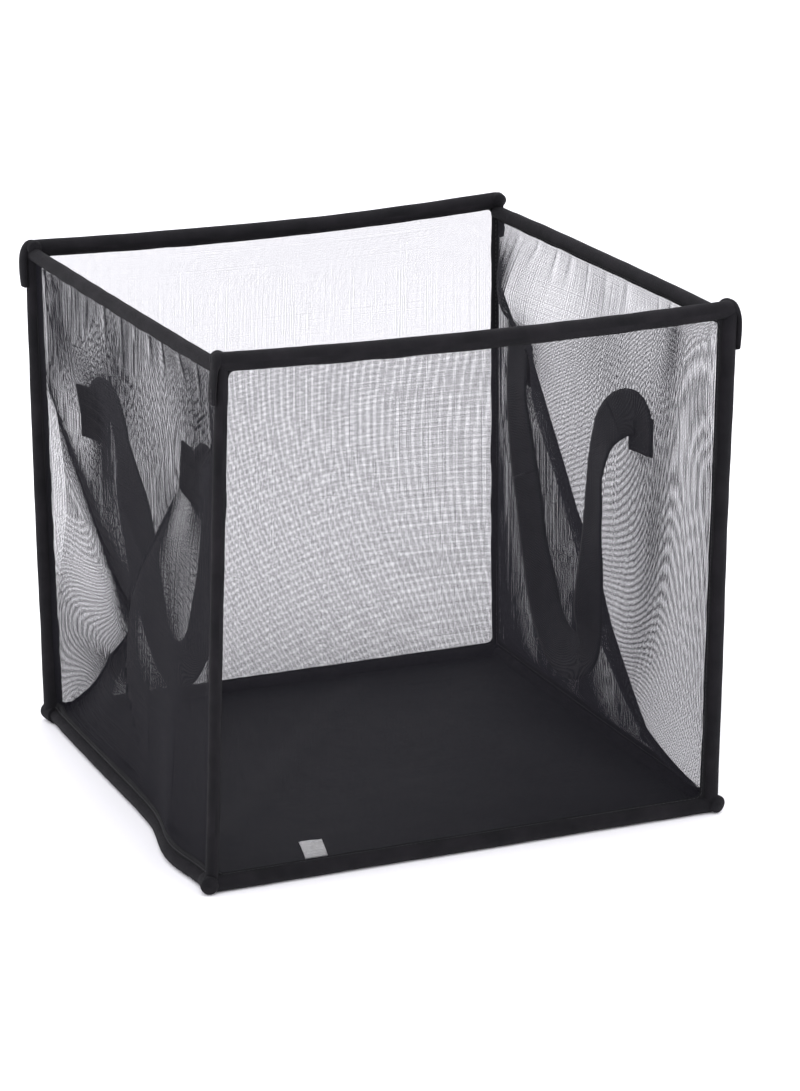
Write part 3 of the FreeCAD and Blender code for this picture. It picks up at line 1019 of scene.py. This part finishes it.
def build_flap(side, side_sign, end, end_sign, seed):
    """The empty end of the side rail's sleeve, flattened and turned down outside the post."""
    drop = 30.0
    post = POST_R[side, end]
    bulky = (side, end) == ("left", "back")
    path = leaned([
        (side_sign * (POST_X + 0.2), end_sign * (FRAME_Y - 9), TOP_Z + 0.2),
        (side_sign * (POST_X + 0.6), end_sign * (FRAME_Y - 3), TOP_Z + 1.0),
        (side_sign * (POST_X + 2.8), end_sign * (FRAME_Y + 0.2), TOP_Z + 0.6),
        (side_sign * (POST_X + post + 0.8), end_sign * (FRAME_Y + 0.6), TOP_Z - 5.0),
        (side_sign * (POST_X + post + 1.5), end_sign * (FRAME_Y + 0.3), TOP_Z - drop * 0.55),
        (side_sign * (POST_X + post + 1.0), end_sign * FRAME_Y, TOP_Z - drop),
    ])
    centres = resample(path, 1.6)
    count = len(centres)
    share = np.linspace(0, 1, count)
    turn = np.clip((share - 0.1) / 0.35, 0, 1)
    turn = turn * turn * (3 - 2 * turn)
    out = np.array([0, 0, 1.0]) * (1 - turn)[:, None] + np.array([side_sign, 0, 0.0]) * turn[:, None]
    tangent = unit(np.gradient(centres, axis=0))
    up = unit(out - (out * tangent).sum(1, keepdims=True) * tangent)
    wide = np.cross(tangent, up)
    angle = np.linspace(0, 2 * math.pi, 24, endpoint=False)
    ends = round_ends(count, 1.6)

    outlines = []
    for i in range(count):
        flat = 1 - (0.45 if bulky else 0.66) * turn[i]
        spread = 1 - 0.06 * turn[i]
        crumple = 0.35 * wobble(seed + 21, np.full(24, share[i] * 7), angle * 2)
        r = (SIDE_RAIL_R + 0.35 + crumple) * ends[i]
        outlines.append(np.stack([np.cos(angle) * r * spread, np.sin(angle) * r * flat], -1))
    flap = loft(f"{end}_{side}_corner_flap", centres, wide, up, outlines)
    finish_piece(flap, CAP, "cap_cloth", end + "_frame", f"{end}_{side}_corner_cap")
    sewn = slice(count * 2 // 3, None)
    face = centres[sewn] + up[sewn] * (SIDE_RAIL_R * 0.36)
    rows = [stitch_row(face + wide[sewn] * offset, up[sewn]) for offset in (-2.2, 2.2)]
    stitches(f"{end}_{side}_flap_stitches", rows, end + "_frame", "cap_cloth")


def build_stub(side, side_sign, end, end_sign, seed):
    """The bottom side rail's sleeve end, poking out past the post."""
    path = leaned([
        (side_sign * (POST_X + 0.5), end_sign * (FRAME_Y - 7), BOTTOM_Z + 0.6),
        (side_sign * (POST_X + 2.2), end_sign * (FRAME_Y + 1), BOTTOM_Z + 0.9),
        (side_sign * (POST_X + 3.4), end_sign * (FRAME_Y + 8), BOTTOM_Z + 0.9),
    ])
    stub = sleeve_tube(f"{end}_{side}_foot_end", path, seed + 30, radius=6.4, step=1.4,
                       up_hint=(0, 0, 1), dome=(False, True), pucker=0.5)
    finish_piece(stub, CAP, "cap_cloth", end + "_frame")


for side_name, side_side in SIDES:
    build_side(side_name, side_side)
    build_bindings(side_name, side_side)
build_bartack()


# ---- floor ----

def build_floor():
    """The slack cloth floor, flat on the ground and turned up a little where it is sewn."""
    half_x, half_y = POST_X - POST_TUCK, FRAME_Y - POST_TUCK
    xs = np.linspace(-half_x, half_x, 110)
    ys = np.linspace(-half_y, half_y, 104)
    x, y = np.meshgrid(xs, ys, indexing="ij")
    edge = np.minimum(half_x - np.abs(x), half_y - np.abs(y))
    rise = 4.2 * np.exp(-edge / 9.0)
    crease = np.abs((y + 150) * 0.62 - (x + 190) * 0.79)
    fold = 2.6 * np.exp(-(crease / 14.0) ** 2) * np.clip(edge / 40, 0, 1)
    buckle = np.clip(wobble(81, x / 75, y / 60), -0.2, 1) * 1.9 * np.clip(edge / 30, 0, 1)
    z = 1.2 + rise + fold + np.maximum(buckle, 0)
    top = leaned(np.stack([x, y, z], -1))
    top[..., 2] = z
    made = slab("floor_cloth", top, top - [0, 0, 0.9], [0, 1])
    finish_piece(made, FLOOR, "floor_cloth", "front_frame", "floor_panel")
    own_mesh(made)


build_floor()


# ---- care label ----

def build_label():
    """A small blank satin label, sewn in the front foot seam and curling inwards."""
    low, high = box_mm("care_label")
    width, height = 0.84 * (high[0] - low[0]), 0.72 * (high[2] - low[2])
    u, v = np.meshgrid(np.linspace(0, 1, 15), np.linspace(0, 1, 12), indexing="ij")
    x = low[0] + u * width + 1.5 - 2.5 * v
    y = low[1] + 1.4 + 7.0 * v**1.6 + 0.7 * np.sin(u * 5.0) * v
    z = low[2] + v * height * 0.96
    face = np.stack([x, y, z], -1)
    made = slab("label", leaned(face), leaned(face + [0, 0.35, 0]), [0, 2])
    finish_piece(made, SATIN, "label_satin", "front_frame", "care_label")


build_label()


# ---- carrying loops ----

STRAP_WIDTH = 35.0
STRAP_THICK = 1.7
TAB_THICK = 2.2
TAB_GRID = 17

# Each loop from one sewn end to the other: a point of its middle line, then its width direction.
LOOPS = {
    "right": [
        (178.5, 114, 252, 0.0, 1.0, 0.0), (178.3, 114, 271, 0.0, 1.0, 0.0),
        (177.2, 114, 283, 0.0, 1.0, 0.0), (175.4, 114, 284, 0.0, 1.0, 0.0),
        (173.8, 115, 268, 0.0, 1.0, 0.0), (173.0, 114, 240, 0.0, 1.0, 0.0),
        (172.0, 100, 200, -0.15, 0.95, -0.3), (170.0, 82, 165, -0.2, 0.9, -0.4),
        (168.0, 68, 134, -0.2, 0.87, -0.45), (165.0, 46, 104, -0.3, 0.8, -0.5),
        (162.0, 27, 85, -0.3, 0.6, -0.7), (159.0, 2, 73, -0.35, 0.2, -0.9),
        (157.0, -28, 73, -0.3, -0.35, -0.9), (156.0, -46, 84, 0.0, -0.8, -0.6),
        (156.0, -52, 100, 0.1, -0.95, -0.25), (156.0, -50, 118, 0.2, -1.0, 0.0),
        (157.5, -49, 145, 0.1, -1.0, 0.0), (160.5, -44, 171, -0.05, -1.0, 0.0),
        (162.5, -42, 196, -0.1, -1.0, 0.1), (164.0, -40, 221, -0.15, -0.95, 0.1),
        (165.0, -46, 245, -0.1, -0.95, -0.2), (169.0, -52, 261, 0.0, -0.75, -0.65),
        (173.5, -64, 272, 0.0, -0.2, -0.97), (177.0, -78, 275, 0.0, 0.4, -0.9),
        (178.3, -84, 268, 0.0, 0.85, -0.4), (178.5, -84, 258, 0.0, 1.0, 0.0),
        (178.3, -84, 250, 0.0, 1.0, 0.0),
    ],
    "left": [
        (-178.7, -117, 264, 0.0, -1.0, 0.0), (-178.5, -116, 277, 0.0, -1.0, 0.0),
        (-177.8, -117, 283, 0.0, -0.9, -0.3), (-176.5, -125, 284, 0.0, -0.3, -0.95),
        (-174.8, -133, 278, 0.0, 0.5, -0.8), (-172.8, -132, 265, 0.0, 0.9, -0.2),
        (-170.0, -121, 244, 0.0, 0.95, 0.2), (-167.0, -108, 214, -0.1, 0.95, 0.3),
        (-164.0, -92, 183, -0.1, 0.9, 0.4), (-161.0, -71, 151, -0.1, 0.85, 0.5),
        (-159.0, -49, 125, 0.0, 0.65, 0.75), (-157.0, -20, 107, 0.1, 0.3, 0.95),
        (-157.0, 8, 104, 0.15, -0.25, 0.95), (-157.0, 29, 117, 0.2, -0.7, 0.7),
        (-158.0, 41, 138, 0.3, -0.9, 0.4), (-160.0, 47, 159, 0.35, -0.9, 0.25),
        (-162.0, 51, 182, 0.38, -0.9, 0.2), (-164.0, 54, 200, 0.38, -0.9, 0.2),
        (-166.0, 57, 218, 0.3, -0.93, 0.2), (-168.0, 59, 237, 0.1, -1.0, 0.1),
        (-171.0, 62, 257, 0.0, -1.0, 0.0), (-174.0, 62, 270, 0.0, -0.9, 0.3),
        (-177.0, 70, 280, 0.0, -0.3, 0.95), (-180.0, 83, 281, 0.0, 0.5, 0.85),
        (-181.2, 91, 272, 0.0, 1.0, 0.2), (-181.4, 93, 262, 0.0, 1.0, 0.0),
    ],
}

# Each sewn strap end: y and z of its middle, its width and height, and its turn in degrees.
TABS = {
    ("right", "back"): (114, 267, 36, 36, 3), ("right", "front"): (-82, 262, 34, 29, -4),
    ("left", "front"): (-114, 279, 46, 36, 8), ("left", "back"): (91, 272, 38, 40, -5),
}


def build_loop(side, side_sign):
    """A webbing loop: the hanging part, and the two ends that arch over to where they are sewn."""
    fine = resample(np.array(LOOPS[side], float), 2.6)
    centres, widths = fine[:, :3], unit(fine[:, 3:6])
    hanging = np.flatnonzero(np.abs(centres[:, 0]) < STRAP_X - 0.8)
    first, last = hanging[0], hanging[-1]

    def strip(name, i0, i1):
        return ribbon(name, centres[i0:i1], widths[i0:i1], STRAP_WIDTH, STRAP_THICK, camber=0.5, across=12)

    strap = strip(f"{side}_carry_loop", first, last + 1)
    finish_piece(strap, WEBBING, "webbing", side + "_handle", side + "_handle_webbing")
    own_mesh(strap)
    for k, (i0, i1) in enumerate(((0, first + 2), (last - 1, len(centres)))):
        arch = strip(f"{side}_loop_arch_{k}", i0, i1)
        finish_piece(arch, WEBBING, "webbing")
        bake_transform(arch)
    for end in ("front", "back"):
        build_tab(side, side_sign, end)


def tab_spot(side, side_sign, end, across, up, lift):
    """A place on a sewn strap end, lift millimetres inwards from the wall's cloth."""
    y0, z0, width, height, turn = TABS[side, end]
    t = math.radians(turn)
    y = y0 + across * width / 2 * math.cos(t) - up * height / 2 * math.sin(t)
    z = z0 + across * width / 2 * math.sin(t) + up * height / 2 * math.cos(t)
    spot = wall_point(side_sign, y, z)
    spot[..., 0] -= side_sign * lift
    return spot


def build_tab(side, side_sign, end):
    """The strap's end, folded under and box-stitched flat on the wall, with a loose thread."""
    grid = np.linspace(-1, 1, TAB_GRID)
    u, v = np.meshgrid(grid, grid, indexing="ij")
    soft = np.clip((1 - np.maximum(np.abs(u), np.abs(v))) / 0.1, 0, 1)
    cushion = TAB_THICK + 0.5 * np.sqrt(soft) + 0.2 * wobble(91, u * 3, v * 3)
    cushion = cushion - 0.35 * (np.abs(np.abs(u) - 0.78) < 0.07)
    tab = slab(f"{side}_{end}_strap_end", tab_spot(side, side_sign, end, u, v, cushion),
               tab_spot(side, side_sign, end, u, v, 0.4), [2, 1])
    finish_piece(tab, WEBBING, "webbing", side + "_side", f"{side}_handle_{end}_tab")
    rows = []
    corners = [(-0.78, -0.78), (0.78, -0.78), (0.78, 0.78), (-0.78, 0.78)]
    box = list(zip(corners, corners[1:] + corners[:1]))
    for a, b in box + [(corners[0], corners[2]), (corners[3], corners[1])]:
        t = np.linspace(0, 1, 12)
        across, up = a[0] + (b[0] - a[0]) * t, a[1] + (b[1] - a[1]) * t
        line = tab_spot(side, side_sign, end, across, up, TAB_THICK + 0.55)
        rows.append(stitch_row(line, np.tile([-side_sign, 0, 0], (len(line), 1))))
    stitches(f"{side}_{end}_box_stitch", rows, side + "_side", "webbing")
    build_fray(side, side_sign, end)


def build_fray(side, side_sign, end):
    """Loose warp threads at the strap's raw end."""
    rng = np.random.default_rng(sum(map(ord, side + end)))
    count, ring = 7, 5
    made = []
    for _ in range(9):
        across = rng.uniform(-0.9, 0.9)
        base = tab_spot(side, side_sign, end, np.array([across]), np.array([-0.97]), 1.6)[0]
        reach = rng.uniform(2.5, 7.5)
        t = np.linspace(0, 1, count)[:, None]
        bend = np.array([-side_sign * rng.uniform(0, 2.5), rng.normal(0, 2.2), 0.0])
        line = base + t * [0, rng.normal(0, 0.8), -reach] + t**2 * bend
        side_dirs, up_dirs = frames_along(line, (side_sign, 0.2, 0))
        rings = round_rings(line, side_dirs, up_dirs, np.full(count, 0.16), ring)
        made.append((rings.reshape(-1, 3), grid_faces(count, ring, wrap=True)))
    stitches(f"{side}_{end}_frayed_threads", made, side + "_side", "webbing")


for side_name, side_side in SIDES:
    build_loop(side_name, side_side)


# ---- studio ----

def build_stage():
    """A plain pale floor."""
    size = 9000.0
    points = [(-size, -size, 0), (size, -size, 0), (size, size, 0), (-size, size, 0)]
    ground = new_object("ground", np.array(points) - [0, 0, 0.3], [[0, 1, 2, 3]])
    ground.data.materials.append(material("ground", (0.93, 0.93, 0.93), 0.9, specular=0.1)[0])


def area_light(name, place, aim, size, power):
    """A white softbox at a place, turned to its aim, both in metres."""
    data = bpy.data.lights.new(name, "AREA")
    data.shape = "RECTANGLE"
    data.size = size
    data.size_y = size
    data.energy = power
    lamp = bpy.data.objects.new(name, data)
    bpy.context.scene.collection.objects.link(lamp)
    lamp.location = place
    direction = Vector(aim) - Vector(place)
    lamp.rotation_euler = direction.to_track_quat("-Z", "Y").to_euler()


def build_light():
    """A bright cool room and three softboxes."""
    world = bpy.data.worlds.new("studio")
    world.use_nodes = True
    world.node_tree.nodes["Background"].inputs["Color"].default_value = (0.95, 0.94, 1.0, 1)
    world.node_tree.nodes["Background"].inputs["Strength"].default_value = 1.62
    bpy.context.scene.world = world
    area_light("key", (-1.6, -2.2, 2.6), (0, 0, 0.2), 1.6, 25)
    area_light("fill", (2.4, -1.2, 1.6), (0, 0, 0.2), 1.4, 8)
    area_light("top", (0.2, 0.6, 2.8), (0, 0, 0.1), 1.8, 12)


AZIMUTH, ELEVATION, ROLL = -23.98, 17.75, 0.43
CAMERA_DISTANCE = 2.6788
AIM = (0.0240, 0.0, 0.1694)
FOCAL_IN_FRAME_HEIGHTS = 3.311732


def build_camera():
    """A camera at the photo's angle, aimed at a point of the basket."""
    azimuth, elevation, roll = (math.radians(angle) for angle in (AZIMUTH, ELEVATION, ROLL))
    level = math.cos(elevation)
    back = Vector((math.sin(azimuth) * level, -math.cos(azimuth) * level, math.sin(elevation)))
    right = Vector((0, 0, 1)).cross(back).normalized()
    up = back.cross(right)
    turned_right = right * math.cos(roll) + up * math.sin(roll)
    turned_up = up * math.cos(roll) - right * math.sin(roll)
    data = bpy.data.cameras.new("camera")
    data.sensor_width = 36.0
    data.lens = 36.0 * FOCAL_IN_FRAME_HEIGHTS
    data.clip_start, data.clip_end = 0.05, 60
    camera = bpy.data.objects.new("camera", data)
    bpy.context.scene.collection.objects.link(camera)
    rotation = Matrix((turned_right, turned_up, back)).transposed().to_4x4()
    camera.matrix_world = Matrix.Translation(Vector(AIM) + back * CAMERA_DISTANCE) @ rotation
    bpy.context.scene.camera = camera


build_stage()
build_light()
build_camera()
bpy.context.scene.view_settings.view_transform = "Standard"
